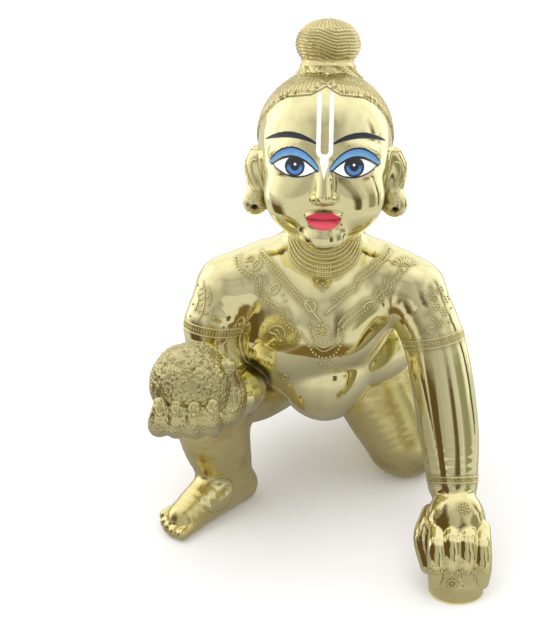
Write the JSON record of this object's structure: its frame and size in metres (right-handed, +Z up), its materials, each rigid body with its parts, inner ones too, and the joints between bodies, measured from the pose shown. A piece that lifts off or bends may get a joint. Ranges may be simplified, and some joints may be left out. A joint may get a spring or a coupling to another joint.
{
  "type": "laddu gopal idol",
  "caption": "Crawling baby deity figure cast in polished brass, resting on a foot, a knee and a fist, with a sweet held forward and hair in a topknot.",
  "frame": {"origin": "middle of the figure's box, at the level of its soles", "axes": "+Z up from the ground, -Y the way the figure faces, +X towards its left hand"},
  "size_m": [0.101, 0.1428, 0.16],
  "materials": {
    "cast_brass": "polished"
  },
  "bodies": {
    "root": {"idol": "cast_brass"}
  },
  "joints": []
}
